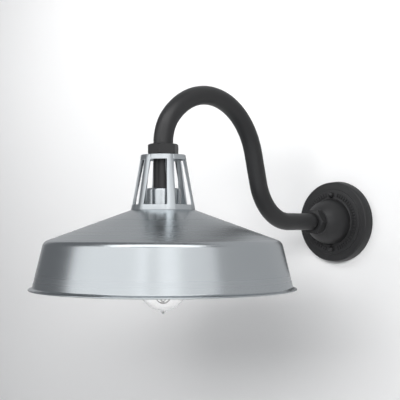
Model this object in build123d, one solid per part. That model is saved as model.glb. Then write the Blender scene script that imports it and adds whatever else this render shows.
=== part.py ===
from build123d import *
import math
import os

# Gooseneck wall lantern: a round cast plate on the wall, a bent pipe arm, and a spun shade that hangs
# from a cast vent cage with a lamp holder and a squirrel-cage bulb inside.
# Origin: centre of the plate on the wall plane Y = 0. The wall is on the +Y side, the arm reaches towards
# -Y, and +Z is up. "s" is the distance from the wall, so Y = -s.

# ---- wall plate -------------------------------------------------------------------------------------
PLATE_R = 66.7              # 5.25 in cast plate
PLATE_FACE_R = 65.0
PLATE_RIM_S = 18.0          # front of the outer ring
PLATE_DISC_S = 20.0         # front of the raised middle disc
PLATE_DISC_R = 53.5
PLATE_WALL = 3.5
DOME_R = 37.5
DOME_ARC_R = 56.7
HUB_S = 61.8                # seat of the lock nut
HUB_INNER_S = 46.0
GASKET_T = 1.5
GASKET_R_IN = 58.0
STUD_SPACING = 88.9         # 3.5 in box screw spacing
STUD_R = 2.08               # 8-32 end that goes into the outlet box
STUD_FRONT_R = 2.4          # 10-24 end that carries the plate and the cap nuts
STUD_BEHIND = 10.0
STUD_STEP_S = 0.4
CAP_NUT_R = 5.0
CAP_NUT_WALL = 2.0
STRAP = (18.0, 108.0, 2.5)
STRAP_S = 1.0

# ---- arm --------------------------------------------------------------------------------------------
PIPE_R = 13.35              # 3/4 in iron pipe
PIPE_WALL = 2.87
PIPE_START_S = 48.0
BEND_START_S = 138.0
BEND_R = 77.5
BEND_DEG = 75.0
RISE = 45.0
CROWN_R = 104.0
CROWN_TO_DEG = 48.0         # the crown keeps this radius until the pipe heads this far below level
SHOULDER_R = 57.0
WIRE_R = 1.2
WIRE_OFFSET = 5.0

# ---- shade and cage ---------------------------------------------------------------------------------
SHADE_T = 1.2
NECK_R = 43.1
NECK_Z = 14.9
NECK_HOLE_R = 33.0
SHOULDER_EDGE_R = 158.5
SHOULDER_EDGE_Z = -27.1
SKIRT_R = 172.9
SKIRT_Z = -86.8
RIM_R = 177.4
RIM_Z = -89.3
RIM_BEAD_R = 1.0
CAGE_TOP_R = 29.8
CAGE_TOP_Z = 88.8
CAGE_WALL = 1.6
CAGE_TOP_RING = 6.7
CAGE_FOOT_RING = 7.1
CAGE_DISC_T = 5.0
RIBS = 6
RIB_W_FOOT = 12.0
RIB_W_TOP = 10.0
FOOT_FLANGE_T = 2.5
NUT_AF = 37.0
NUT_T = 14.8
WASHER_FACE = 0.4
STEM_R = 9.4
STEM_BORE_R = 6.9
STEM_BOTTOM_Z = 36.0
BUSHING_LEN = 18.0

# ---- lamp holder and bulb ---------------------------------------------------------------------------
CUP_R = 24.0
CUP_WALL = 1.2
CUP_TOP_Z = 44.0
CUP_BOTTOM_Z = -8.0
PORCELAIN_R = 21.0
PORCELAIN_TOP_Z = 27.0
SOCKET_BORE_R = 15.0
SOCKET_FLOOR_Z = 18.1
CONTACT_WELL_R = 10.5
CONTACT_WELL_Z = 20.5
THREAD_PITCH = 3.63         # E26 screw, 7 turns to the inch
CAP_CREST_R = 13.1
CAP_ROOT_R = 12.7
SHELL_CREST_R = 13.5
SHELL_ROOT_R = 13.9
SHEET_T = 0.4
BULB_R = 32.0
BULB_CENTRE_Z = -88.3
GLASS_T = 0.8
NECK_GLASS_R = 12.2
LOOP_R = 11.0
LOOP_TOP_Z = -52.0
LOOP_CENTRE_Z = -99.0
LOOPS = 4
LOOP_STEP = 0.9
FILAMENT_R = 0.35

SIDE_PLANE = Plane(origin=(0, 0, 0), x_dir=(0, -1, 0), z_dir=(-1, 0, 0))  # local x = s, local y = Z


def heading(degrees):
    return (math.cos(math.radians(degrees)), math.sin(math.radians(degrees)))


def arm_route(start_s, end_z):
    """Centre line of the gooseneck in the side plane, from start_s to a height end_z over the shade."""
    level = Line((start_s, 0), (BEND_START_S, 0))
    first = JernArc(level @ 1, heading(0), BEND_R, BEND_DEG)
    rise_end = first @ 1 + Vector(*heading(BEND_DEG)) * RISE
    rise = Line(first @ 1, rise_end)
    crown = JernArc(rise @ 1, heading(BEND_DEG), CROWN_R, -(BEND_DEG + CROWN_TO_DEG))
    shoulder = JernArc(crown @ 1, heading(-CROWN_TO_DEG), SHOULDER_R, -(90 - CROWN_TO_DEG))
    corner = shoulder @ 1
    drop = Line(corner, (corner.X, end_z))
    return Wire([level, first, rise, crown, shoulder, drop])


LAMP_REACH = (arm_route(PIPE_START_S, 0) @ 1).X
LAMP = Location((0, -LAMP_REACH, 0))


def turned_on_lamp(face_xz):
    """A face drawn as (radius, height) and turned about the lamp's upright axis."""
    return LAMP * revolve(Plane.XZ * face_xz, Axis.Z)


def turned_on_arm(face_rs):
    """A face drawn as (radius, s) and turned about the level axis through the wall plate."""
    return revolve(mirror(face_rs, Plane.XZ), Axis.Y)


def band(inner, outer, low, high):
    return make_face(Polyline((inner, low), (outer, low), (outer, high), (inner, high), close=True))


def lamp_tube(outer, inner, low, high):
    return turned_on_lamp(band(inner, outer, low, high))


def arm_disc(outer, low, high, inner=0.0):
    return turned_on_arm(band(inner, outer, low, high))


def domed_end(radius, base, top):
    """Arc from the edge of a round end to its middle on the axis, level at the middle."""
    height = top - base
    ball_r = (radius ** 2 + height ** 2) / (2 * height)
    half = math.asin(radius / ball_r) / 2
    middle = (ball_r * math.sin(half), top - ball_r + ball_r * math.cos(half))
    return ThreePointArc((radius, base), middle, (0, top))


def face_of(*lines):
    return make_face([edge for line in lines for edge in line.edges()])


# ---- wall plate group -------------------------------------------------------------------------------
def plate_outline():
    """Half section of the hollow casting, from its edge over the dome to the bore and back inside."""
    arc_centre = DOME_R - DOME_ARC_R
    dome_top_s = HUB_S - 1.3
    dome_top_r = arc_centre + math.sqrt(DOME_ARC_R ** 2 - (dome_top_s - PLATE_DISC_S) ** 2)
    bore = PIPE_R + 0.05
    inner_arc_r = DOME_ARC_R - PLATE_WALL
    roof = PLATE_RIM_S - PLATE_WALL
    hollow_top_r = bore + 9.0
    hollow_top_s = PLATE_DISC_S + math.sqrt(inner_arc_r ** 2 - (hollow_top_r - arc_centre) ** 2)
    boss_r = bore + 4.6
    inner_dome_r = arc_centre + inner_arc_r
    inner_edge = PLATE_R - PLATE_WALL - 0.7
    edge = FilletPolyline(
        (PLATE_R, GASKET_T),
        (PLATE_FACE_R, PLATE_RIM_S),
        (PLATE_DISC_R + 0.4, PLATE_RIM_S),
        (PLATE_DISC_R, PLATE_DISC_S),
        (DOME_R + 1.0, PLATE_DISC_S),
        radius=[2.6, 0.6, 0.8],
    )
    foot = Line(edge @ 1, (DOME_R, PLATE_DISC_S + 1.0))
    foot_angle = math.degrees(math.asin(1.0 / DOME_ARC_R))
    top_angle = math.degrees(math.acos((dome_top_r - arc_centre) / DOME_ARC_R))
    dome = ThreePointArc(
        foot @ 1,
        polar_point(arc_centre, PLATE_DISC_S, DOME_ARC_R, (foot_angle + top_angle) / 2),
        (dome_top_r, dome_top_s),
    )
    hub = Polyline(
        dome @ 1,
        (dome_top_r - 0.2, HUB_S),
        (bore, HUB_S),
        (bore, HUB_INNER_S),
        (boss_r, HUB_INNER_S),
        (boss_r, hollow_top_s),
        (hollow_top_r, hollow_top_s),
    )
    hollow_angle = math.degrees(math.acos((hollow_top_r - arc_centre) / inner_arc_r))
    hollow = ThreePointArc(
        hub @ 1,
        polar_point(arc_centre, PLATE_DISC_S, inner_arc_r, hollow_angle / 2),
        (inner_dome_r, PLATE_DISC_S),
    )
    back = Polyline(
        hollow @ 1,
        (inner_dome_r, roof),
        (inner_edge, roof),
        (inner_edge, GASKET_T),
        (PLATE_R, GASKET_T),
    )
    return face_of(edge, foot, dome, hub, hollow, back)


def polar_point(centre_r, centre_s, radius, degrees):
    return (
        centre_r + radius * math.cos(math.radians(degrees)),
        centre_s + radius * math.sin(math.radians(degrees)),
    )


def stud_places():
    return [Location((0, 0, STUD_SPACING / 2)), Location((0, 0, -STUD_SPACING / 2))]


def make_wall_canopy():
    shell = turned_on_arm(plate_outline())
    for place in stud_places():
        shell -= place * arm_disc(STUD_FRONT_R + 0.35, PLATE_RIM_S - PLATE_WALL - 1, PLATE_DISC_S + 1)
    return shell


def make_wall_gasket():
    return arm_disc(PLATE_R - 0.5, 0, GASKET_T, GASKET_R_IN)


def make_mounting_strap():
    width, length, thickness = STRAP
    plan = RectangleRounded(width, length, 4)
    plan -= Circle(6)
    for place in (1, -1):
        plan -= Pos(0, place * STUD_SPACING / 2) * Circle(STUD_FRONT_R + 0.05)
    plan -= Pos(0, -22) * Circle(1.95)
    return extrude(Plane((0, -STRAP_S, 0), x_dir=(1, 0, 0), z_dir=(0, -1, 0)) * plan, thickness)


def make_canopy_studs():
    stud = arm_disc(STUD_R, -STUD_BEHIND, STUD_STEP_S)
    stud += arm_disc(STUD_FRONT_R, STUD_STEP_S, PLATE_DISC_S + 4.0)
    return [place * stud for place in stud_places()]


def make_canopy_cap_nuts():
    dome_s = PLATE_DISC_S + CAP_NUT_WALL
    bore = STUD_FRONT_R + 0.05
    depth = PLATE_DISC_S + 4.4
    side = Polyline((bore, depth), (bore, PLATE_DISC_S), (CAP_NUT_R, PLATE_DISC_S), (CAP_NUT_R, dome_s))
    crown = domed_end(CAP_NUT_R, dome_s, dome_s + CAP_NUT_R)
    core = Polyline(crown @ 1, (0, depth), (bore, depth))
    nut = turned_on_arm(face_of(side, crown, core))
    return [place * nut for place in stud_places()]


def make_ground_screw():
    """Hex washer-head screw in the strap."""
    top = STRAP_S + STRAP[2]
    screw = arm_disc(1.9, STRAP_S - 0.6, top + 3.4) + arm_disc(4.4, top, top + 0.8)
    hexagon = Plane((0, -top - 0.8, 0), x_dir=(1, 0, 0), z_dir=(0, -1, 0)) * RegularPolygon(3.6, 6)
    screw += extrude(hexagon, 2.6)
    return Pos(0, 0, -22) * screw


def make_ground_lead():
    """Bare copper lead from the screw, up into the hollow of the dome."""
    s_screw = STRAP_S + STRAP[2] + 1.9
    route = FilletPolyline((5.5, -s_screw, -22), (16, -s_screw, -22), (16, -34, -14), radius=5)
    return sweep(Plane(origin=route @ 0, z_dir=route % 0) * Circle(1.0), path=Wire(route.edges()))


def make_wire_connectors():
    """Twist-on connectors that take the two arm leads."""
    bore = WIRE_R + 0.1
    side = Polyline((0, 20), (3.2, 20), (3.6, 22), (4.6, 40), (4.6, 42))
    throat = Polyline(side @ 1, (bore, 42), (bore, 30), (0, 30), side @ 0)
    connector = turned_on_arm(face_of(side, throat))
    return [Pos(side * WIRE_OFFSET, 0, 0) * connector for side in (1, -1)]


# ---- arm group --------------------------------------------------------------------------------------
def swept_on_route(section, start_s, end_z, side=0.0):
    plane = SIDE_PLANE.offset(-side)
    route = plane * arm_route(start_s, end_z)
    start = Plane(origin=route @ 0, z_dir=route % 0)
    return sweep(start * section, path=route)


def make_arm_pipe():
    section = Circle(PIPE_R) - Circle(PIPE_R - PIPE_WALL)
    return swept_on_route(section, PIPE_START_S, CAGE_TOP_Z - CAGE_DISC_T)


def hex_nut(thickness, across_flats, bore):
    """Nut on the origin along +Z, with chamfered corners, a washer face below and corners on +X and -X."""
    corner_r = across_flats / math.sqrt(3)
    flat_r = across_flats / 2
    drop = (corner_r - flat_r) * 0.6
    body = extrude(Pos(0, 0, WASHER_FACE) * RegularPolygon(corner_r, 6), thickness - WASHER_FACE)
    cone = Polyline(
        (bore, 0),
        (flat_r - 0.6, 0),
        (flat_r - 0.6, WASHER_FACE),
        (corner_r + 0.1, WASHER_FACE + drop),
        (corner_r + 0.1, thickness - drop),
        (flat_r - 0.6, thickness),
        (bore, thickness),
        close=True,
    )
    washer = Pos(0, 0, WASHER_FACE / 2) * Cylinder(flat_r - 0.6, WASHER_FACE)
    return (body + washer) & revolve(Plane.XZ * make_face(cone), Axis.Z)


def make_wall_lock_nut():
    nut = hex_nut(NUT_T, NUT_AF, PIPE_R + 0.05)
    return Pos(0, -HUB_S, 0) * Rot(90, 0, 0) * nut


def make_neck_lock_nut():
    return LAMP * Pos(0, 0, CAGE_TOP_Z) * hex_nut(NUT_T, NUT_AF, PIPE_R + 0.05)


def make_lead(side):
    """One insulated lead, from its connector through the arm and the stem into the lamp holder."""
    return swept_on_route(Circle(WIRE_R), 33, CONTACT_WELL_Z + 2, side)


# ---- shade group ------------------------------------------------------------------------------------
def cage_radius(z):
    """Outer radius of the cage's cone at a height."""
    share = (z - NECK_Z) / (CAGE_TOP_Z - NECK_Z)
    return NECK_R + share * (CAGE_TOP_R - NECK_R)


def window_half_width(z):
    share = (z - NECK_Z) / (CAGE_TOP_Z - NECK_Z)
    rib_w = RIB_W_FOOT + share * (RIB_W_TOP - RIB_W_FOOT)
    radius = cage_radius(z)
    rib_half_angle = math.asin(rib_w / 2 / radius)
    return radius * math.sin(math.pi / RIBS - rib_half_angle)


def make_vent_cage():
    low = NECK_Z + CAGE_FOOT_RING
    high = CAGE_TOP_Z - CAGE_TOP_RING
    under_disc = CAGE_TOP_Z - CAGE_DISC_T
    flange_top = NECK_Z + FOOT_FLANGE_T
    outline = Polyline(
        (NECK_HOLE_R + 0.5, NECK_Z),
        (NECK_R, NECK_Z),
        (CAGE_TOP_R, CAGE_TOP_Z),
        (PIPE_R + 0.05, CAGE_TOP_Z),
        (PIPE_R + 0.05, under_disc),
        (cage_radius(under_disc) - CAGE_WALL, under_disc),
        (cage_radius(flange_top) - CAGE_WALL, flange_top),
        (NECK_HOLE_R + 0.5, flange_top),
        close=True,
    )
    section = make_face(outline)
    rounded = section.vertices().filter_by(lambda v: v.Y > CAGE_TOP_Z - 0.1 and v.X > CAGE_TOP_R - 0.1)
    cage = turned_on_lamp(fillet(rounded, 0.9))
    window = make_face(
        Polyline(
            (-window_half_width(low), low),
            (window_half_width(low), low),
            (window_half_width(high), high),
            (-window_half_width(high), high),
            close=True,
        )
    )
    window = fillet(window.vertices(), 1.6)
    cutter = extrude(Plane.YZ.offset(NECK_HOLE_R / 2) * window, NECK_R)
    for rib in range(RIBS):
        cage -= LAMP * Rot(0, 0, rib * 360 / RIBS) * cutter
    for place in rivet_places():
        cage -= place * Pos(0, 0, NECK_Z) * Cylinder(2.05, 3 * FOOT_FLANGE_T)
    return cage


def rivet_places():
    """Rivets in the middle of each window, through the cage's foot flange and the shade."""
    middle = (NECK_HOLE_R + cage_radius(NECK_Z) - CAGE_WALL) / 2
    return [LAMP * Rot(0, 0, rib * 360 / RIBS) * Pos(middle, 0, 0) for rib in range(RIBS)]


def make_cage_rivets():
    top = NECK_Z + FOOT_FLANGE_T
    bottom = NECK_Z - SHADE_T
    upper = Line((0, bottom), (2.0, bottom))
    shank = Line(upper @ 1, (2.0, top))
    under = Line(shank @ 1, (3.2, top))
    head = domed_end(3.2, top, top + 1.3)
    axis = Line(head @ 1, (0, bottom))
    rivet = revolve(Plane.XZ * face_of(upper, shank, under, head, axis), Axis.Z)
    rivet += Pos(0, 0, bottom - 0.6) * Cylinder(3.2, 1.2)
    return [place * rivet for place in rivet_places()]


def shade_outline():
    """Outer line of the spun sheet, from the neck hole out over the shoulder and down to the flared rim."""
    return FilletPolyline(
        (NECK_HOLE_R, NECK_Z),
        (NECK_R, NECK_Z),
        (SHOULDER_EDGE_R, SHOULDER_EDGE_Z),
        (SKIRT_R, SKIRT_Z),
        (RIM_R, RIM_Z),
        radius=[1.5, 10.0, 1.6],
    )


def make_shade():
    outer = Wire(shade_outline().edges())
    section = make_face(offset(outer, amount=SHADE_T, side=Side.RIGHT, kind=Kind.INTERSECTION))
    shade = turned_on_lamp(section)
    bead = Pos(RIM_R, RIM_Z - SHADE_T / 2) * Circle(RIM_BEAD_R)
    shade += turned_on_lamp(bead)
    for place in rivet_places():
        shade -= place * Pos(0, 0, NECK_Z) * Cylinder(2.05, 3 * SHADE_T)
    return shade


def make_stem_nipple():
    top = CAGE_TOP_Z - CAGE_DISC_T + BUSHING_LEN
    return lamp_tube(STEM_R, STEM_BORE_R, STEM_BOTTOM_Z, top)


def make_reducer_bushing():
    low = CAGE_TOP_Z - CAGE_DISC_T
    return lamp_tube(PIPE_R - PIPE_WALL - 0.05, STEM_R + 0.05, low, low + BUSHING_LEN)


def make_socket_cup():
    edge = CUP_TOP_Z
    outer = FilletPolyline((CUP_R, CUP_BOTTOM_Z), (CUP_R, edge), (STEM_R + 0.05, edge), radius=2.0)
    inner_r = CUP_R - CUP_WALL
    inner = FilletPolyline(
        (STEM_R + 0.05, edge - CUP_WALL),
        (inner_r, edge - CUP_WALL),
        (inner_r, CUP_BOTTOM_Z),
        radius=0.8,
    )
    throat = Line(outer @ 1, inner @ 0)
    mouth = Line(inner @ 1, outer @ 0)
    cup = turned_on_lamp(face_of(outer, throat, inner, mouth))
    for place in socket_screw_places():
        cup -= place * Pos(0, 0, edge) * Cylinder(1.45, 4 * CUP_WALL)
    return cup


def make_cup_lock_nut():
    top = CUP_TOP_Z - CUP_WALL
    nut = hex_nut(4.0, 28.0, STEM_R + 0.05)
    return LAMP * Pos(0, 0, top) * Rot(180, 0, 0) * nut


def socket_screw_places():
    return [LAMP * Pos(0, 18 * side, 0) for side in (1, -1)]


def make_porcelain_socket():
    body = lamp_tube(PORCELAIN_R, 0, CUP_BOTTOM_Z, PORCELAIN_TOP_Z)
    body = fillet(body.edges().filter_by(GeomType.CIRCLE), 1.2)
    body -= lamp_tube(SOCKET_BORE_R, 0, CUP_BOTTOM_Z - 1, SOCKET_FLOOR_Z)
    body -= lamp_tube(CONTACT_WELL_R, 0, SOCKET_FLOOR_Z - 1, CONTACT_WELL_Z)
    for place in socket_screw_places():
        body -= place * Cylinder(1.45, 100)
        body -= place * Pos(0, 0, CUP_BOTTOM_Z) * Cylinder(2.65, 5.2)
    for side in (1, -1):
        body -= LAMP * Pos(side * WIRE_OFFSET, 0, PORCELAIN_TOP_Z) * Cylinder(WIRE_R + 0.15, 2 * 4.8)
        body -= LAMP * Pos(side * 13.5, 0, PORCELAIN_TOP_Z) * Cylinder(1.85, 2 * 5.0)
    return body


def thread_outline(crest, root, low, turns):
    """Radius and height of a rolled Edison thread, as rings of crest and root."""
    points = []
    for turn in range(turns):
        start = low + turn * THREAD_PITCH
        points.append((root, start))
        points.append((root, start + 0.25 * THREAD_PITCH))
        points.append((crest, start + 0.5 * THREAD_PITCH))
        points.append((crest, start + 0.75 * THREAD_PITCH))
    points.append((root, low + turns * THREAD_PITCH))
    return points


def make_screw_shell():
    line = thread_outline(SHELL_CREST_R, SHELL_ROOT_R, -4.6, 6)
    outer = [(r + SHEET_T, z) for r, z in line]
    floor = SOCKET_FLOOR_Z - 0.1
    inner_floor = (CONTACT_WELL_R - 0.4, floor - SHEET_T)
    outer_floor = (CONTACT_WELL_R - 0.4, floor)
    line = line + [(SHELL_ROOT_R, floor - SHEET_T), inner_floor, outer_floor, (SHELL_ROOT_R + SHEET_T, floor)]
    return turned_on_lamp(make_face(Polyline(*line, *reversed(outer), close=True)))


def make_centre_contact():
    return LAMP * Pos(0, 0, CONTACT_WELL_Z - 0.3) * Box(18, 6, 0.6)


def make_terminal_screws():
    shank = Pos(0, 0, PORCELAIN_TOP_Z - 2.2) * Cylinder(1.8, 4.4)
    head = Pos(0, 0, PORCELAIN_TOP_Z + 1.0) * Cylinder(3.4, 2.0)
    slot = Pos(0, 0, PORCELAIN_TOP_Z + 2.0) * Box(8, 0.8, 1.6)
    screw = shank + head - slot
    return [LAMP * Pos(side * 13.5, 0, 0) * screw for side in (1, -1)]


def make_socket_mount_screws():
    low = CUP_BOTTOM_Z + 0.4
    screw = Pos(0, 0, (low + CUP_TOP_Z) / 2) * Cylinder(1.4, CUP_TOP_Z - low)
    screw += Pos(0, 0, low + 1.0) * Cylinder(2.6, 2.0)
    screw -= Pos(0, 0, low) * Box(6, 0.7, 1.4)
    return [place * screw for place in socket_screw_places()]


# ---- bulb group -------------------------------------------------------------------------------------
def bulb_solid(inset):
    """Full bulb shape, drawn in from the glass surface by inset."""
    radius = BULB_R - inset
    join = 12.0
    bottom = BULB_CENTRE_Z - radius
    belly_end = polar_point(0, BULB_CENTRE_Z, radius, join)
    belly = ThreePointArc((0, bottom), polar_point(0, BULB_CENTRE_Z, radius, -35), belly_end)
    neck = (NECK_GLASS_R + 2.0 - inset, -15.0)
    lean = (-math.sin(math.radians(join)), math.cos(math.radians(join)))
    flank = Spline(belly_end, neck, tangents=[lean, (-0.2, 0.98)])
    throat_r = NECK_GLASS_R - inset
    throat = Polyline(neck, (throat_r, -8.5), (throat_r, -2.0), (0, -2.0), (0, bottom))
    return turned_on_lamp(face_of(belly, flank, throat))


def make_bulb_glass():
    tip = bulb_tip()
    return bulb_solid(0) + tip - bulb_solid(GLASS_T) - lamp_tube(NECK_GLASS_R - GLASS_T, 0, -3, 0)


def bulb_tip():
    """Sealed-off exhaust tip at the bottom of the glass."""
    root = BULB_CENTRE_Z - BULB_R + 0.35
    flank = Spline((4.6, root), (1.9, root - 2.0), (1.1, root - 3.2), tangents=[(-1.0, -0.25), (-0.6, -1.0)])
    point = domed_end(1.1, root - 3.2, root - 4.0)
    core = Polyline(point @ 1, (0, root + 0.3), (4.6, root + 0.3), flank @ 0)
    return turned_on_lamp(face_of(flank, point, core))


def make_bulb_screw_cap():
    line = thread_outline(CAP_CREST_R, CAP_ROOT_R, -7.6, 6)
    inner = [(r - SHEET_T, z) for r, z in line]
    shoulder = [(CAP_ROOT_R, 14.6), (9.4, 16.8), (9.4 - SHEET_T, 16.4), (CAP_ROOT_R - SHEET_T, 14.2)]
    return turned_on_lamp(make_face(Polyline(*line, *shoulder, *reversed(inner), close=True)))


def make_bulb_insulator():
    outline = Polyline((0, 15.6), (8.9, 15.6), (8.9, 17.2), (5.0, 18.6), (0, 18.6), close=True)
    return turned_on_lamp(make_face(outline))


def make_bulb_tip_contact():
    base = Line((0, 18.6), (4.6, 18.6))
    crown = domed_end(4.6, 18.6, 19.5)
    axis = Line((0, 19.5), (0, 18.6))
    return turned_on_lamp(face_of(base, crown, axis))


def make_glass_stem():
    """Flared glass mount that seals the neck and carries the filament's supports."""
    outline = FilletPolyline(
        (0, -64),
        (3.0, -64),
        (2.4, -58),
        (2.4, -28),
        (5.0, -16),
        (6.0, -10),
        (NECK_GLASS_R - GLASS_T - 0.1, -4.4),
        radius=1.2,
    )
    closing = Polyline(outline @ 1, (NECK_GLASS_R - GLASS_T - 0.1, -3.2), (0, -3.2), (0, -64))
    return turned_on_lamp(face_of(outline, closing))


def make_filament():
    """Hairpin loops that pass one over another at the bottom of the bulb."""
    down = Line((LOOP_R, LOOP_TOP_Z), (LOOP_R, LOOP_CENTRE_Z))
    bottom = ThreePointArc((LOOP_R, LOOP_CENTRE_Z), (0, LOOP_CENTRE_Z - LOOP_R), (-LOOP_R, LOOP_CENTRE_Z))
    back = Line((-LOOP_R, LOOP_CENTRE_Z), (-LOOP_R, LOOP_TOP_Z))
    path = Wire([down, bottom, back])
    wire = Plane.XZ * sweep(Plane(origin=path @ 0, z_dir=path % 0) * Circle(FILAMENT_R), path=path)
    return [LAMP * Rot(0, 0, (n + 0.5) * 180 / LOOPS) * Pos(0, 0, n * LOOP_STEP) * wire for n in range(LOOPS)]


def make_filament_supports():
    length = LOOP_R - FILAMENT_R - 0.05 - 2.45
    spoke = Pos(2.45 + length / 2, 0, LOOP_TOP_Z - 4) * Rot(0, 90, 0) * Cylinder(0.3, length)
    return [LAMP * Rot(0, 0, (n + 0.5) * 180 / LOOPS) * spoke for n in range(2 * LOOPS)]


NODES = {
    "wall_canopy": make_wall_canopy,
    "wall_gasket": make_wall_gasket,
    "mounting_strap": make_mounting_strap,
    "canopy_studs": make_canopy_studs,
    "canopy_cap_nuts": make_canopy_cap_nuts,
    "ground_screw": make_ground_screw,
    "ground_lead": make_ground_lead,
    "wire_connectors": make_wire_connectors,
    "arm_pipe": make_arm_pipe,
    "wall_lock_nut": make_wall_lock_nut,
    "neck_lock_nut": make_neck_lock_nut,
    "live_wire": lambda: make_lead(WIRE_OFFSET),
    "neutral_wire": lambda: make_lead(-WIRE_OFFSET),
    "vent_cage": make_vent_cage,
    "cage_rivets": make_cage_rivets,
    "shade": make_shade,
    "stem_nipple": make_stem_nipple,
    "reducer_bushing": make_reducer_bushing,
    "socket_cup": make_socket_cup,
    "cup_lock_nut": make_cup_lock_nut,
    "porcelain_socket": make_porcelain_socket,
    "screw_shell": make_screw_shell,
    "centre_contact": make_centre_contact,
    "terminal_screws": make_terminal_screws,
    "socket_mount_screws": make_socket_mount_screws,
    "bulb_glass": make_bulb_glass,
    "bulb_screw_cap": make_bulb_screw_cap,
    "bulb_insulator": make_bulb_insulator,
    "bulb_tip_contact": make_bulb_tip_contact,
    "glass_stem": make_glass_stem,
    "filament": make_filament,
    "filament_supports": make_filament_supports,
}


def main():
    os.makedirs("parts", exist_ok=True)
    for node, make in NODES.items():
        shape = make()
        if isinstance(shape, list):
            shape = Compound(children=shape)
        export_step(shape, f"parts/{node}.step")


main()
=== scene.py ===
"""Looks of a gooseneck wall lantern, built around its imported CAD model.

Laid out as an add-on: property groups hold the sizes and finishes, each operator makes one piece or one
group of like pieces, and a sidebar panel lists them. Lengths in the property groups are metres.
"""
import math

import bmesh
import bpy
from bpy.props import FloatProperty, FloatVectorProperty, IntProperty, PointerProperty
from mathutils import Matrix, Vector
from mathutils.geometry import interpolate_bezier


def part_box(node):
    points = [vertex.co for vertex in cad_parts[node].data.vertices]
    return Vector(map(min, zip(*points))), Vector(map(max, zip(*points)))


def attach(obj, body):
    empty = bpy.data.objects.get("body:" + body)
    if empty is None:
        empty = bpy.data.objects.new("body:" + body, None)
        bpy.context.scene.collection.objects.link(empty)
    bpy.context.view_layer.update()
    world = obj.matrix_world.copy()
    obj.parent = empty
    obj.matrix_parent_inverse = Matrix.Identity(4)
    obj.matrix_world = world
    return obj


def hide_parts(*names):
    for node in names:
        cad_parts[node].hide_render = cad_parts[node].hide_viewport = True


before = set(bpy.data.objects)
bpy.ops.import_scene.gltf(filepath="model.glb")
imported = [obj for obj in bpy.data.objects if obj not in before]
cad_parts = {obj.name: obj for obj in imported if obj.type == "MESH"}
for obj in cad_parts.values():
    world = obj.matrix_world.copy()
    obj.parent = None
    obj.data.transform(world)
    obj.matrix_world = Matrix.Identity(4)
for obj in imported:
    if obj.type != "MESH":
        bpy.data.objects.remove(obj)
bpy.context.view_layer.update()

bl_info = {
    "name": "Gooseneck Wall Lantern",
    "version": (1, 0, 0),
    "blender": (4, 5, 0),
    "location": "View3D > Sidebar > Lantern",
    "description": "Builds the pieces, finishes and studio of a gooseneck wall lantern",
    "category": "Add Mesh",
}

MM = 0.001
FULL_TURN = 2 * math.pi
X_AXIS = Vector((1, 0, 0))
Z_AXIS = Vector((0, 0, 1))
SAME = 1e-6
NEAR = 1e-5
FIXTURE = "fixture"
BULB = "bulb"


# ---- places read from the frame ---------------------------------------------------------------------
def low(node):
    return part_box(node)[0]


def high(node):
    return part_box(node)[1]


def half_width(node):
    return (high(node).x - low(node).x) / 2


LAMP_Y = (low("shade").y + high("shade").y) / 2
LAMP_PLACE = Vector((0, LAMP_Y, 0))
RIM_R = half_width("shade")
RIM_LOW = low("shade").z
NECK_Z = low("vent_cage").z
NECK_R = half_width("vent_cage")
CAGE_TOP_Z = high("vent_cage").z
NUT_TOP_Z = high("neck_lock_nut").z
PIPE_R = half_width("arm_pipe")
PLATE_R = half_width("wall_canopy")
HUB_Y = low("wall_canopy").y
STUD_Z = (high("canopy_studs").z - low("canopy_studs").z) / 2 - half_width("canopy_studs")
CUP_R = half_width("socket_cup")
CUP_TOP_Z = high("socket_cup").z
CUP_LOW_Z = low("socket_cup").z
STEM_R = half_width("stem_nipple")
FIT = 0.05 * MM
PIPE_BORE_R = PIPE_R + FIT


# ---- settings ---------------------------------------------------------------------------------------
def length(name, text, default):
    kind = {"unit": "LENGTH", "subtype": "DISTANCE", "precision": 4}
    return FloatProperty(name=name, description=text, default=default, **kind)


def angle(name, text, default):
    return FloatProperty(name=name, description=text, default=math.radians(default), subtype="ANGLE")


def degrees(name, text, default):
    return FloatProperty(name=name, description=text, default=default)


def colour(name, text, default):
    kind = {"subtype": "COLOR", "min": 0, "max": 1}
    return FloatVectorProperty(name=name, description=text, default=linear(default), **kind)


def share(name, text, default):
    return FloatProperty(name=name, description=text, default=default, min=0, max=1, subtype="FACTOR")


def glow(name, text, default):
    return FloatProperty(name=name, description=text, default=default, min=0)


def linear(code):
    """Linear RGB of an sRGB hex code."""
    values = [int(code[i : i + 2], 16) / 255 for i in (1, 3, 5)]
    return tuple(v / 12.92 if v <= 0.04045 else ((v + 0.055) / 1.055) ** 2.4 for v in values)


class ShadeSizes(bpy.types.PropertyGroup):
    sheet: length("Sheet", "Thickness of the spun sheet", 1.2 * MM)
    neck_hole_r: length("Neck hole", "Radius of the hole in the shade's top", 33 * MM)
    shoulder_r: length("Shoulder radius", "Where the sloped top meets the side", 158.5 * MM)
    shoulder_drop: length("Shoulder drop", "Height from the neck down to the shoulder", 42.0 * MM)
    shoulder_bend: length("Shoulder bend", "Radius of the rounded shoulder", 10 * MM)
    skirt_r: length("Skirt radius", "Where the side meets the flared rim", 172.9 * MM)
    skirt_drop: length("Skirt drop", "Height from the neck down to the flare", 101.7 * MM)
    flare_drop: length("Flare drop", "Height from the neck down to the rim's bead", 104.8 * MM)
    bead_r: length("Bead radius", "Radius of the rolled bead", 1.0 * MM)
    bead_from: degrees("Bead from", "Where the outside meets the bead, in degrees", 119)
    bead_to: degrees("Bead to", "Where the inside meets the bead, in degrees", -167)
    steps: IntProperty(name="Steps", description="Faces round the shade", default=192, min=24)


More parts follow.
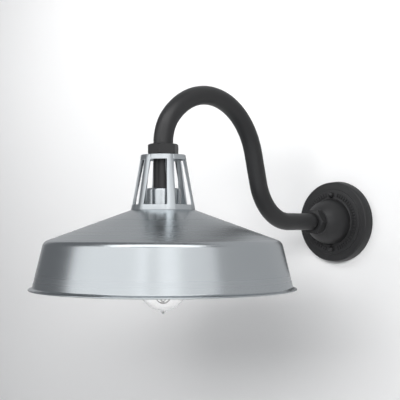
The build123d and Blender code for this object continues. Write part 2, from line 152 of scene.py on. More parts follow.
class CageSizes(bpy.types.PropertyGroup):
    top_r: length("Top radius", "Outer radius of the cage at its top", 29.8 * MM)
    wall: length("Wall", "Thickness of the cast ribs", 1.6 * MM)
    top_ring: length("Top ring", "Height of the ring over the windows", 6.7 * MM)
    foot_ring: length("Foot ring", "Height of the ring under the windows", 7.1 * MM)
    disc: length("Top disc", "Thickness of the disc that holds the pipe", 5.0 * MM)
    flange: length("Foot flange", "Thickness of the flange on the shade", 2.5 * MM)
    rib_foot: length("Rib width below", "Width of a rib at its foot", 12 * MM)
    rib_top: length("Rib width above", "Width of a rib at its top", 10 * MM)
    corner: length("Window corner", "Corner radius of a window", 1.6 * MM)
    ribs: IntProperty(name="Ribs", description="Number of ribs", default=6, min=3)


class ArmSizes(bpy.types.PropertyGroup):
    start: length("Start", "Distance of the pipe's end from the wall", 48 * MM)
    level_end: length("Level run", "Distance from the wall where the first bend starts", 138 * MM)
    bend_r: length("First bend", "Radius of the bend that rises", 77.5 * MM)
    bend: angle("First bend angle", "Turn of the bend that rises", 75)
    rise: length("Rise", "Straight length between the bends", 45 * MM)
    crown_r: length("Crown", "Radius over the top", 104 * MM)
    crown_down: angle("Crown end", "Slope below level at which the crown ends", 48)
    drop_r: length("Drop bend", "Radius of the bend over the lamp", 57 * MM)
    wall: length("Pipe wall", "Wall of the pipe", 2.87 * MM)
    nut_flats: length("Nut", "Width of a lock nut across its flats", 37 * MM)
    washer_face: length("Washer face", "Height of the round face under a nut", 0.4 * MM)


class PlateSizes(bpy.types.PropertyGroup):
    face_r: length("Face radius", "Radius of the plate's front edge", 65 * MM)
    rim_out: length("Rim", "Front of the outer ring from the wall", 18 * MM)
    disc_out: length("Disc", "Front of the raised disc from the wall", 20 * MM)
    disc_r: length("Disc radius", "Radius of the raised disc", 53.5 * MM)
    wall: length("Wall", "Thickness of the casting", 3.5 * MM)
    dome_r: length("Dome radius", "Radius at the foot of the dome", 37.5 * MM)
    dome_arc: length("Dome arc", "Radius of the dome's section", 56.7 * MM)
    ring_r: length("Relief radius", "Radius of the ring of raised bars", 45 * MM)
    gap: angle("Relief gap", "Angle kept clear on each side of an acorn nut", 9)
    bars: IntProperty(name="Relief bars", description="Places for bars round the ring", default=60, min=8)


class BulbSizes(bpy.types.PropertyGroup):
    belly_r: length("Belly", "Radius of the bulb's round end", 32 * MM)
    neck_r: length("Neck", "Radius of the glass in the cap", 12.2 * MM)
    glass: length("Glass", "Thickness of the glass", 0.8 * MM)
    pitch: length("Thread pitch", "Seven turns to the inch", 3.63 * MM)
    tip: length("Exhaust tip", "Height of the sealed tip under the belly", 3.65 * MM)


class Finishes(bpy.types.PropertyGroup):
    aluminium: colour("Aluminium", "Spun and cast aluminium", "#C4C9CC")
    aluminium_rough: share("Aluminium roughness", "Satin of the spun sheet", 0.27)
    black: colour("Black", "Powder coat", "#242425")
    black_rough: share("Black roughness", "Satin of the powder coat", 0.38)
    glass: colour("Glass", "Tint of the bulb", "#FDFDFD")
    porcelain: colour("Porcelain", "Glaze of the lamp holder", "#E9E6DF")
    brass: colour("Brass", "Rolled brass", "#C8A45C")
    zinc: colour("Zinc", "Zinc plating", "#A9ADAA")


class StageSettings(bpy.types.PropertyGroup):
    azimuth: angle("View azimuth", "Turn of the camera round the lantern", 42)
    pitch: angle("View pitch", "Upward tilt of the camera", 1.45)
    distance: length("View distance", "Camera to its aim", 1.2872)
    lens: FloatProperty(name="Lens", description="Focal length in mm", default=86.5, min=1)
    wall: colour("Wall", "Painted wall", "#F4F4F4")
    floor: colour("Floor", "Pale floor", "#E8E8E8")
    sky: share("Sky", "Strength of the even light", 0.2)
    key: glow("Key", "Glow of the light that casts the wall shadow", 17)
    wash: glow("Wash", "Glow of the light by the wall's upper left", 2.9)
    streak: glow("Left panel", "Glow mirrored on the left", 1.0)
    front: glow("Front panel", "Glow mirrored in front", 0.8)
    highlight: glow("Highlight", "Extra glow mirrored in the middle", 0.5)
    top: glow("Top panel", "Glow mirrored from above", 2.2)
    wall_gloss: glow("Wall gloss", "Glow of the wall as metal mirrors it", 0.32)
    aim: FloatVectorProperty(
        name="Aim",
        description="Point the camera looks at",
        default=(0.0372, -0.3845, 0.0284),
        subtype="TRANSLATION",
    )


# ---- mesh tools -------------------------------------------------------------------------------------
def chain(mesh, points, closed=False):
    """Wire through a few points."""
    verts = [mesh.verts.new(p) for p in points]
    pairs = list(zip(verts, verts[1:]))
    if closed:
        pairs.append((verts[-1], verts[0]))
    for pair in pairs:
        mesh.edges.new(pair)
    return verts


def bevelled(mesh, geom, offset, segments, affect="EDGES"):
    """Bevels edges or points to a round profile."""
    bmesh.ops.bevel(
        mesh,
        geom=geom,
        offset=offset,
        offset_type="OFFSET",
        segments=segments,
        profile=0.5,
        affect=affect,
        material=-1,
    )


def sliced(mesh, point, normal, clear=False):
    """Cuts the whole mesh along a plane, and may drop what is beyond it."""
    whole = mesh.verts[:] + mesh.edges[:] + mesh.faces[:]
    bmesh.ops.bisect_plane(mesh, geom=whole, plane_co=point, plane_no=normal, clear_outer=clear, dist=1e-7)


def rounded(mesh, vert, radius, segments):
    """Rounds one corner of a wire to a radius."""
    one, two = [(e.other_vert(vert).co - vert.co).normalized() for e in vert.link_edges]
    turn = math.pi - one.angle(two)
    bevelled(mesh, [vert], radius * math.tan(turn / 2), segments, "VERTICES")


def section(mesh, points, closed=True, span=0.0):
    """Wire in the XZ plane from (radius, height) or (radius, height, rounding, segments) points.

    Edges longer than span are divided, so that a bend's shading doesn't creep along them.
    """
    verts = chain(mesh, [(p[0], 0, p[1]) for p in points], closed)
    for vert, point in zip(verts, points):
        if len(point) > 2:
            rounded(mesh, vert, *point[2:])
    for edge in mesh.edges[:]:
        cuts = int(edge.calc_length() / span) if span else 0
        if cuts:
            bmesh.ops.subdivide_edges(mesh, edges=[edge], cuts=cuts)


def arc(centre, radius, start, end, steps):
    """Points along an arc in the section plane; angles in degrees from the outward direction."""
    turns = [math.radians(start + (end - start) * n / steps) for n in range(steps + 1)]
    return [(centre[0] + radius * math.cos(t), centre[1] + radius * math.sin(t)) for t in turns]


def turned(mesh, steps, turn=FULL_TURN, climb=0.0):
    """Spins the wire in the mesh about Z, in a full closed turn or as a screw."""
    full = climb == 0 and abs(turn - FULL_TURN) < SAME
    bmesh.ops.spin(
        mesh,
        geom=mesh.verts[:] + mesh.edges[:],
        cent=(0, 0, 0),
        axis=Z_AXIS,
        dvec=(0, 0, climb / steps),
        angle=turn,
        steps=steps,
        use_merge=full,
        use_duplicate=False,
    )
    closed_up(mesh)


def spun(points, steps, closed=True, span=0.0):
    """New mesh of a section turned once about Z."""
    mesh = bmesh.new()
    section(mesh, points, closed, span)
    turned(mesh, steps)
    return mesh


def closed_up(mesh):
    """Merges doubles, drops loose wire and turns the faces outwards."""
    bmesh.ops.remove_doubles(mesh, verts=mesh.verts[:], dist=SAME)
    bmesh.ops.dissolve_degenerate(mesh, edges=mesh.edges[:], dist=1e-7)
    loose = [e for e in mesh.edges if not e.link_faces]
    bmesh.ops.delete(mesh, geom=loose, context="EDGES")
    bmesh.ops.recalc_face_normals(mesh, faces=mesh.faces[:])


def ring(mesh, count, radius, height):
    """Circle of edges about Z whose radius and height may each be a function of the angle."""
    made = bmesh.ops.create_circle(mesh, cap_ends=False, segments=count, radius=1)["verts"]
    for vert in made:
        turn = math.atan2(vert.co.y, vert.co.x)
        r = radius(turn) if callable(radius) else radius
        z = height(turn) if callable(height) else height
        vert.co = Vector((r * math.cos(turn), r * math.sin(turn), z))
    return list({e for v in made for e in v.link_edges})


def lofted(mesh, rings, closed=False):
    """Bridges one ring to the next; closed joins the last to the first, else both ends are capped."""
    for one, two in zip(rings, rings[1:]):
        bmesh.ops.bridge_loops(mesh, edges=one + two)
    if closed:
        bmesh.ops.bridge_loops(mesh, edges=rings[-1] + rings[0])
    else:
        bmesh.ops.contextual_create(mesh, geom=rings[0])
        bmesh.ops.contextual_create(mesh, geom=rings[-1])
    closed_up(mesh)


def placed(mesh, matrix):
    bmesh.ops.transform(mesh, matrix=matrix, verts=mesh.verts[:])


def on_lamp():
    return Matrix.Translation(LAMP_PLACE)


def on_wall(place=(0, 0, 0)):
    """Turns a shape made along +Z so that it stands out from the wall along -Y."""
    return Matrix.Translation(place) @ Matrix.Rotation(math.pi / 2, 4, "X")


def turns_of(count):
    """Even turns about Z."""
    return [Matrix.Rotation(n * FULL_TURN / count, 4, "Z") for n in range(count)]


def joined(parts):
    """One mesh from several."""
    whole = bmesh.new()
    for part in parts:
        data = bpy.data.meshes.new("part")
        part.to_mesh(data)
        part.free()
        whole.from_mesh(data)
        bpy.data.meshes.remove(data)
    return whole


def copies(mesh, matrices):
    """The same shape at several places, in one mesh."""
    parts = []
    for matrix in matrices:
        part = mesh.copy()
        placed(part, matrix)
        parts.append(part)
    mesh.free()
    return joined(parts)


def as_object(name, mesh, material):
    """Puts a finished mesh into the scene."""
    data = bpy.data.meshes.new(name)
    mesh.to_mesh(data)
    mesh.free()
    data.materials.append(material)
    thing = bpy.data.objects.new(name, data)
    bpy.context.scene.collection.objects.link(thing)
    return thing


def piece(name, mesh, maker, body, nodes, crease=30, bevel=0.0):
    """Finishes a mesh as a piece of the lantern that rides on a body."""
    for face in mesh.faces:
        face.smooth = True
    for edge in mesh.edges:
        edge.smooth = not edge.is_manifold or edge.calc_face_angle(0) < math.radians(crease)
    thing = as_object(name, mesh, finish(maker))
    if bevel:
        eased = thing.modifiers.new("eased_edges", "BEVEL")
        eased.width = bevel
        eased.segments = 2
        eased.limit_method = "ANGLE"
        eased.angle_limit = math.radians(crease + 5)
        eased.harden_normals = True
    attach(thing, body)
    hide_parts(*nodes)


# ---- materials --------------------------------------------------------------------------------------
def add(material, kind, inputs=(), **settings):
    """Adds a shader node with its settings; inputs are (output or value, socket) pairs."""
    node = material.node_tree.nodes.new("ShaderNode" + kind)
    for key, value in settings.items():
        setattr(node, key, value)
    for source, socket in inputs:
        if isinstance(source, bpy.types.NodeSocket):
            material.node_tree.links.new(source, node.inputs[socket])
        else:
            node.inputs[socket].default_value = source
    return node


def blank(name):
    """New material with an empty node tree."""
    material = bpy.data.materials.new(name)
    material.use_nodes = True
    material.node_tree.nodes.clear()
    return material


def shaded(material, *inputs):
    """Closes a material with its shader and output."""
    shader = add(material, "BsdfPrincipled", inputs)
    add(material, "OutputMaterial", [(shader.outputs[0], "Surface")])
    return material


def rgba(tone, light=1.0):
    """Tone as a socket value, made lighter or darker."""
    return (*[min(1.0, value * light) for value in tone], 1.0)


def worked(name, tone, rough, grain, depth, metallic=0.0, swing=0.06, detail=3.0, wear=14.0, extra=()):
    """Material whose surface has a grain of a real width and depth, in millimetres.

    The grain raises the surface and swings the tone a little; a slower cloud, wear millimetres across,
    swings the roughness as handling and uneven coating do.
    """
    material = blank(name)
    place = add(material, "TexCoord").outputs["Object"]
    scale = 1 / (grain * MM)
    fine = add(material, "TexNoise", [(place, "Vector"), (scale, "Scale"), (detail, "Detail")])
    cloud = add(material, "TexNoise", [(place, "Vector"), (1 / (wear * MM), "Scale")])
    light, dark = rgba(tone, 1 + swing), rgba(tone, 1 - swing)
    tones = add(material, "Mix", [(fine.outputs[0], 0), (dark, 6), (light, 7)], data_type="RGBA")
    satin = add(
        material,
        "MapRange",
        [(cloud.outputs[0], "Value"), (rough * 0.85, "To Min"), (rough * 1.15, "To Max")],
    )
    relief = add(material, "Bump", [(fine.outputs[0], "Height"), (depth * MM, "Distance")])
    return shaded(
        material,
        (tones.outputs[2], "Base Color"),
        (metallic, "Metallic"),
        (satin.outputs[0], "Roughness"),
        (relief.outputs[0], "Normal"),
        *extra,
    )


def finishes():
    return bpy.context.scene.lantern.finishes


def satin_aluminium():
    """Aluminium sheet spun on a lathe, satin finished: an even cool grey that mirrors soft lights as broad
    bands, with the faint rings that the roller leaves round the axis. Rings 0.9 mm apart, a little coarser
    than a real roller's, so that they show."""
    material = blank("satin_aluminium")
    place = add(material, "TexCoord").outputs["Object"]
    centred = add(material, "Mapping", [(place, "Vector"), (-LAMP_PLACE, "Location")])
    parts = add(material, "SeparateXYZ", [(centred.outputs[0], 0)])
    plan = add(material, "CombineXYZ", [(parts.outputs[0], 0), (parts.outputs[1], 1)])
    radius = add(material, "VectorMath", [(plan.outputs[0], 0)], operation="LENGTH")
    across = add(material, "CombineXYZ", [(radius.outputs["Value"], 0), (parts.outputs[2], 1)])
    rings = add(
        material,
        "TexNoise",
        [(across.outputs[0], "Vector"), (1 / (0.9 * MM), "Scale"), (1.0, "Detail")],
        noise_dimensions="2D",
    )
    bands = add(
        material,
        "TexNoise",
        [(across.outputs[0], "Vector"), (1 / (16 * MM), "Scale")],
        noise_dimensions="2D",
    )
    smear = add(material, "TexNoise", [(place, "Vector"), (1 / (45 * MM), "Scale"), (4.0, "Detail")])
    tone = finishes().aluminium
    tones = add(
        material,
        "Mix",
        [(smear.outputs[0], 0), (rgba(tone, 0.97), 6), (rgba(tone, 1.03), 7)],
        data_type="RGBA",
    )
    rough = finishes().aluminium_rough
    satin = add(
        material,
        "MapRange",
        [(bands.outputs[0], "Value"), (rough * 0.9, "To Min"), (rough * 1.1, "To Max")],
    )
    relief = add(material, "Bump", [(rings.outputs[0], "Height"), (0.002 * MM, "Distance")])
    return shaded(
        material,
        (tones.outputs[2], "Base Color"),
        (1.0, "Metallic"),
        (satin.outputs[0], "Roughness"),
        (relief.outputs[0], "Normal"),
    )


def tumbled_aluminium():
    """Die-cast aluminium, tumbled: paler and duller than the spun sheet, with a fine pebbled skin."""
    tone = rgba(finishes().aluminium, 1.1)[:3]
    return worked("tumbled_aluminium", tone, 0.34, grain=0.8, depth=0.02, metallic=1.0, swing=0.04)


def turned_aluminium():
    """Aluminium turned to a cup and polished: clear upright reflections, slightly broken up."""
    tone = rgba(finishes().aluminium, 1.1)[:3]
    return worked("turned_aluminium", tone, 0.24, grain=3, depth=0.01, metallic=1.0)


def coated_pipe():
    """Iron pipe under black powder coat: a soft broad sheen and a shallow orange peel 1.6 mm across."""
    return worked("coated_pipe", finishes().black, finishes().black_rough, grain=1.6, depth=0.03, swing=0.08)


def coated_casting():
    """Sand-cast iron under black powder coat: the 1 mm sand grain still shows through as a rough skin."""
    rough = finishes().black_rough + 0.06
    return worked("coated_casting", finishes().black, rough, grain=1.1, depth=0.10, swing=0.12, detail=5.0)


def coated_hardware():
    """Machined nuts under black powder coat: smoother than the casting, rounded at the corners."""
    return worked("coated_hardware", finishes().black, finishes().black_rough - 0.06, grain=1.2, depth=0.02)


def plated_steel():
    """Bright zinc-plated steel: cool grey with cloudy spangle about 4 mm across."""
    tone = finishes().zinc
    return worked("plated_steel", tone, 0.32, grain=4, depth=0.006, metallic=1.0, swing=0.14, wear=6)


def green_steel():
    """Green-dyed plated steel, the usual mark of a grounding screw."""
    return worked("green_steel", linear("#2E7A45"), 0.34, grain=1.5, depth=0.01, metallic=0.6)


def rolled_brass():
    """Rolled brass sheet: warm yellow, lightly tarnished in clouds."""
    tone = finishes().brass
    return worked("rolled_brass", tone, 0.28, grain=2.5, depth=0.006, metallic=1.0, swing=0.12, wear=8)


def nickel_brass():
    """Nickel-plated brass of a bulb cap: pale warm silver with soft drawing marks."""
    return worked("nickel_brass", linear("#C9C3B4"), 0.25, grain=1.8, depth=0.006, metallic=1.0, wear=7)


def bare_copper():
    """Soft-drawn copper wire, gone a little brown."""
    return worked("bare_copper", linear("#C27650"), 0.33, grain=1.0, depth=0.008, metallic=1.0, swing=0.15)


def soft_solder():
    """Tin solder that set in a blob: grey, bright on its ridges."""
    return worked("soft_solder", linear("#B4B5B2"), 0.36, grain=1.4, depth=0.05, metallic=1.0)


def drawn_tungsten():
    """Drawn tungsten wire: dark grey metal with die lines too fine to see singly."""
    return worked("drawn_tungsten", linear("#6E6A63"), 0.38, grain=0.5, depth=0.01, metallic=1.0, swing=0.15)


def glazed_porcelain():
    """White electrical porcelain: a warm body under a clear glaze that pools in slow waves."""
    glaze = [(0.8, "Coat Weight"), (0.06, "Coat Roughness")]
    tone = finishes().porcelain
    return worked("glazed_porcelain", tone, 0.35, grain=7, depth=0.08, swing=0.03, wear=10, extra=glaze)


def sponge_rubber():
    """Closed-cell rubber gasket: matt black with open pores where it was cut."""
    return worked("sponge_rubber", linear("#1C1D1E"), 0.85, grain=0.7, depth=0.12, swing=0.25)


def moulded_nylon():
    """Glass-filled nylon, moulded: orange, slightly waxy, with a spark-eroded mould texture."""
    return worked("moulded_nylon", linear("#C9642B"), 0.45, grain=0.6, depth=0.03, swing=0.05)


def black_vinyl():
    """Black wire insulation, extruded: smooth and faintly streaked."""
    return worked("black_vinyl", linear("#1B1B1C"), 0.42, grain=0.9, depth=0.01, swing=0.1)


def white_vinyl():
    """White wire insulation, extruded: smooth and faintly streaked."""
    return worked("white_vinyl", linear("#DAD9D3"), 0.42, grain=0.9, depth=0.01, swing=0.04)


def cap_glass():
    """Black glass that insulates a bulb's tip contact: pressed, glossy, with shallow flow waves."""
    return worked("cap_glass", linear("#121318"), 0.12, grain=3, depth=0.03, swing=0.1)


def clear_glass(name, wave, depth):
    """Clear soda-lime glass with a slow wave in its surface, sizes in millimetres."""
    material = blank(name)
    place = add(material, "TexCoord").outputs["Object"]
    waves = add(material, "TexNoise", [(place, "Vector"), (1 / (wave * MM), "Scale"), (1.0, "Detail")])
    relief = add(material, "Bump", [(waves.outputs[0], "Height"), (depth * MM, "Distance")])
    return shaded(
        material,
        (rgba(finishes().glass), "Base Color"),
        (0.02, "Roughness"),
        (1.5, "IOR"),
        (1.0, "Transmission Weight"),
        (relief.outputs[0], "Normal"),
    )


def blown_glass():
    """Blown bulb glass: clear, thin, bright at its edges, with slow waves about 20 mm across."""
    return clear_glass("blown_glass", 20, 0.05)


def pressed_glass():
    """Glass rod and tube that hold the filament: clear, pinched and uneven every few millimetres."""
    return clear_glass("pressed_glass", 4, 0.08)


def finish(maker):
    """The material that a maker gives, made once."""
    return bpy.data.materials.get(maker.__name__) or maker()


# ---- shade and cage ---------------------------------------------------------------------------------
def beside(points, sheet):
    """Line beside a section line, a sheet's thickness to the right of its travel, with bends to suit."""
    made = []
    for n, point in enumerate(points):
        here = Vector(point[:2])
        before = (here - Vector(points[max(n - 1, 0)][:2])).normalized()
        after = (Vector(points[min(n + 1, len(points) - 1)][:2]) - here).normalized()
        one, two = before if before.length else after, after if after.length else before
        sides = [Vector((way.y, -way.x)) for way in (one, two)]
        corner = here + (sides[0] + sides[1]) / (1 + sides[0].dot(sides[1])) * sheet
        grow = math.copysign(sheet, one.x * two.y - one.y * two.x)
        bend = [(max(point[2] + grow, 0.2 * MM)), point[3]] if len(point) > 2 else []
        made.append((*corner, *bend))
    return made


class LANTERN_OT_shade(bpy.types.Operator):
    """Spin the sheet aluminium shade with its rolled rim"""

    bl_idname = "lantern.shade"
    bl_label = "Spun shade"

    def execute(self, context):
        sizes = context.scene.lantern.shade
        bead = (RIM_R - sizes.bead_r, RIM_LOW + sizes.bead_r)
        outer = [
            (sizes.neck_hole_r, NECK_Z),
            (NECK_R, NECK_Z, 1.5 * MM, 4),
            (sizes.shoulder_r, NECK_Z - sizes.shoulder_drop, sizes.shoulder_bend, 12),
            (sizes.skirt_r, NECK_Z - sizes.skirt_drop, 1.6 * MM, 5),
        ]
        flare = (RIM_R - sizes.bead_r, NECK_Z - sizes.flare_drop + 0.6 * MM)
        inner = beside(outer + [flare], sizes.sheet)[:-1]
        roll = arc(bead, sizes.bead_r, sizes.bead_from, sizes.bead_to, 16)
        mesh = spun(outer + roll + inner[::-1], sizes.steps, span=6 * MM)
        placed(mesh, on_lamp())
        piece("spun_shade", mesh, satin_aluminium, FIXTURE, ["shade"], crease=50)
        return {"FINISHED"}


def cage_radius(z):
    """Outer radius of the cage's cone at a height."""
    part = (z - NECK_Z) / (CAGE_TOP_Z - NECK_Z)
    return NECK_R + part * (bpy.context.scene.lantern.cage.top_r - NECK_R)


def window_half(z):
    """Half width of a cage window at a height."""
    sizes = bpy.context.scene.lantern.cage
    part = (z - NECK_Z) / (CAGE_TOP_Z - NECK_Z)
    rib = sizes.rib_foot + part * (sizes.rib_top - sizes.rib_foot)
    radius = cage_radius(z)
    return radius * math.sin(math.pi / sizes.ribs - math.asin(rib / 2 / radius))


def cut_window(mesh, low_z, high_z, corner):
    """Opens a window in a wedge of the cage, centred on +X, with rounded corners."""
    lean = window_half(high_z) - window_half(low_z)
    planes = [((0, 0, low_z), Z_AXIS), ((0, 0, high_z), Z_AXIS)]
    for side in (1, -1):
        planes.append(((0, side * window_half(low_z), low_z), Vector((0, side * (high_z - low_z), -lean))))
    for point, normal in planes:
        sliced(mesh, point, normal)

    def inside(co, slack=0.0):
        return low_z - slack < co.z < high_z + slack and abs(co.y) < window_half(co.z) + slack

    panes = [f for f in mesh.faces if inside(f.calc_center_median())]
    bmesh.ops.delete(mesh, geom=panes, context="FACES")
    edge = [e for e in mesh.edges if e.is_boundary and all(inside(v.co, NEAR) for v in e.verts)]
    jambs = bmesh.ops.bridge_loops(mesh, edges=edge)["faces"]
    corners = []
    for line in {e for f in jambs for e in f.edges}:
        ends = [v.co for v in line.verts]
        level = all(min(abs(co.z - low_z), abs(co.z - high_z)) < NEAR for co in ends)
        upright = all(abs(abs(co.y) - window_half(co.z)) < NEAR for co in ends)
        if level and upright:
            corners.append(line)
    bevelled(mesh, corners, corner, 4)


class LANTERN_OT_vent_cage(bpy.types.Operator):
    """Cast the cone of ribs between the shade and the pipe"""

    bl_idname = "lantern.vent_cage"
    bl_label = "Vent cage"

    def execute(self, context):
        sizes = context.scene.lantern.cage
        under = CAGE_TOP_Z - sizes.disc
        flange_top = NECK_Z + sizes.flange
        hole_r = context.scene.lantern.shade.neck_hole_r + 0.5 * MM
        inner_top = cage_radius(under) - sizes.wall
        inner_foot = cage_radius(flange_top) - sizes.wall
        outline = [
            (hole_r, NECK_Z),
            (NECK_R, NECK_Z, 0.4 * MM, 2),
            (sizes.top_r, CAGE_TOP_Z, 0.9 * MM, 4),
            (PIPE_BORE_R, CAGE_TOP_Z),
            (PIPE_BORE_R, under),
            (inner_top, under, 1.2 * MM, 3),
            (inner_foot, flange_top, 1.2 * MM, 3),
            (hole_r, flange_top, 0.4 * MM, 2),
        ]
        mesh = bmesh.new()
        section(mesh, outline)
        wedge = FULL_TURN / sizes.ribs
        placed(mesh, Matrix.Rotation(-wedge / 2, 4, "Z"))
        turned(mesh, 10, wedge)
        cut_window(mesh, NECK_Z + sizes.foot_ring, CAGE_TOP_Z - sizes.top_ring, sizes.corner)
        mesh = copies(mesh, [on_lamp() @ turn for turn in turns_of(sizes.ribs)])
        closed_up(mesh)
        nodes, edge = ["vent_cage"], 0.35 * MM
        piece("cast_vent_cage", mesh, tumbled_aluminium, FIXTURE, nodes, bevel=edge)
        return {"FINISHED"}


class LANTERN_OT_rivets(bpy.types.Operator):
    """Rivet the cage's flange to the shade"""

    bl_idname = "lantern.rivets"
    bl_label = "Cage rivets"

    def execute(self, context):
        sizes = context.scene.lantern.cage
        sheet = context.scene.lantern.shade.sheet
        top = NECK_Z + sizes.flange
        bottom = NECK_Z - sheet
        head_r = 3.2 * MM
        shank_r = head_r * 0.6
        head = 1.3 * MM
        ball = (head_r ** 2 + head ** 2) / (2 * head)
        start = math.degrees(math.acos(head_r / ball))
        outline = [
            (0, bottom - sheet),
            (head_r, bottom - sheet, 0.4 * MM, 3),
            (head_r, bottom),
            (shank_r, bottom),
            (shank_r, top),
            *arc((0, top + head - ball), ball, start, 90, 8),
        ]
        mesh = spun(outline, steps=28, closed=False)
        middle = (context.scene.lantern.shade.neck_hole_r + cage_radius(NECK_Z) - sizes.wall) / 2
        out = Matrix.Translation((middle, 0, 0))
        mesh = copies(mesh, [on_lamp() @ turn @ out for turn in turns_of(sizes.ribs)])
        piece("cage_rivet_set", mesh, satin_aluminium, FIXTURE, ["cage_rivets"])
        return {"FINISHED"}


# ---- arm --------------------------------------------------------------------------------------------
def hexagon(flat_r):
    """Radius of a hexagon with corners on +X and -X, as a function of the angle."""
    sixth = FULL_TURN / 6
    return lambda turn: flat_r / math.cos(turn % sixth - sixth / 2)


def hex_nut(mesh, flat_r, thickness, bore, washer):
    """Nut standing on the origin, with a washer face below and chamfers turned on both ends."""
    face_r = flat_r - 0.6 * MM
    lead = 0.5 * MM
    side = hexagon(flat_r)
    slope = 0.48

    def chamfer(turn):
        return (side(turn) - face_r) * slope

    levels = [
        (bore, lead),
        (bore + lead, 0),
        (face_r, 0),
        (face_r, washer),
        (side, lambda turn: washer + chamfer(turn)),
        (side, lambda turn: thickness - chamfer(turn)),
        (face_r, thickness),
        (bore + lead, thickness),
        (bore, thickness - lead),
    ]
    lofted(mesh, [ring(mesh, 72, radius, z) for radius, z in levels], closed=True)


class LANTERN_OT_lock_nuts(bpy.types.Operator):
    """Make the two hexagon lock nuts on the pipe"""

    bl_idname = "lantern.lock_nuts"
    bl_label = "Lock nuts"

    def execute(self, context):
        sizes = context.scene.lantern.arm
        thickness = NUT_TOP_Z - CAGE_TOP_Z
        spots = {"neck": Matrix.Translation((0, LAMP_Y, CAGE_TOP_Z)), "wall": on_wall((0, HUB_Y, 0))}
        for name, place in spots.items():
            mesh = bmesh.new()
            hex_nut(mesh, sizes.nut_flats / 2, thickness, PIPE_BORE_R, sizes.washer_face)
            placed(mesh, place)
            nodes = [f"{name}_lock_nut"]
            piece(f"{name}_hex_nut", mesh, coated_hardware, FIXTURE, nodes, bevel=0.3 * MM)
        return {"FINISHED"}


class Walk:
    """Takes a ring of edges along a route in the upright plane through the arm, leaving a tube behind."""

    def __init__(self, mesh, edges, start):
        self.mesh = mesh
        self.edges = edges
        self.point = Vector((0, -start, 0))
        self.heading = 0.0

    def ahead(self):
        return Vector((0, -math.cos(self.heading), math.sin(self.heading)))

    def straight(self, distance, span=6 * MM):
        steps = max(1, round(distance / span))
        for _ in range(steps):
            made = bmesh.ops.extrude_edge_only(self.mesh, edges=self.edges)["geom"]
            verts = [item for item in made if isinstance(item, bmesh.types.BMVert)]
            bmesh.ops.translate(self.mesh, verts=verts, vec=self.ahead() * distance / steps)
            self.edges = [e for e in made if isinstance(e, bmesh.types.BMEdge) and set(e.verts) <= set(verts)]
        self.point += self.ahead() * distance

    def bend(self, radius, turn, span=3.5 * MM):
        """Turns upwards by a positive angle and downwards by a negative one."""
        up = Vector((0, math.sin(self.heading), math.cos(self.heading)))
        centre = self.point + up * math.copysign(radius, turn)
        steps = max(2, round(abs(turn) * radius / span))
        verts = list({v for e in self.edges for v in e.verts})
        made = bmesh.ops.spin(
            self.mesh,
            geom=verts + self.edges,
            cent=centre,
            axis=X_AXIS,
            angle=-turn,
            steps=steps,
            use_merge=False,
        )["geom_last"]
        self.edges = [item for item in made if isinstance(item, bmesh.types.BMEdge)]
        self.point = centre + Matrix.Rotation(-turn, 3, "X") @ (self.point - centre)
        self.heading += turn


class LANTERN_OT_gooseneck(bpy.types.Operator):
    """Bend the pipe from the wall plate up and over to the lamp"""

    bl_idname = "lantern.gooseneck"
    bl_label = "Gooseneck pipe"

    def execute(self, context):
        sizes = context.scene.lantern.arm
        mesh = bmesh.new()
        edges = ring(mesh, 72, PIPE_R, 0)
        placed(mesh, on_wall((0, -sizes.start, 0)))
        walk = Walk(mesh, edges, sizes.start)
        walk.straight(sizes.level_end - sizes.start)
        walk.bend(sizes.bend_r, sizes.bend)
        walk.straight(sizes.rise)
        walk.bend(sizes.crown_r, -sizes.bend - sizes.crown_down)
        walk.bend(sizes.drop_r, sizes.crown_down - math.pi / 2)
        walk.straight(walk.point.z - low("arm_pipe").z)
        closed_up(mesh)
        bmesh.ops.solidify(mesh, geom=mesh.faces[:], thickness=sizes.wall)
        piece("gooseneck_pipe", mesh, coated_pipe, FIXTURE, ["arm_pipe"])
        return {"FINISHED"}


class LANTERN_OT_stem(bpy.types.Operator):
    """Turn the stem that carries the lamp holder"""

    bl_idname = "lantern.stem"
    bl_label = "Stem"

    def execute(self, context):
        foot, top = low("stem_nipple").z, high("stem_nipple").z
        bore = 6.9 * MM
        outline = [
            (bore, foot),
            (STEM_R, foot, 0.8 * MM, 2),
            (STEM_R, top, 0.8 * MM, 2),
            (bore, top),
        ]
        mesh = spun(outline, steps=64, span=8 * MM)
        placed(mesh, on_lamp())
        piece("turned_stem", mesh, coated_pipe, FIXTURE, ["stem_nipple"])
        return {"FINISHED"}


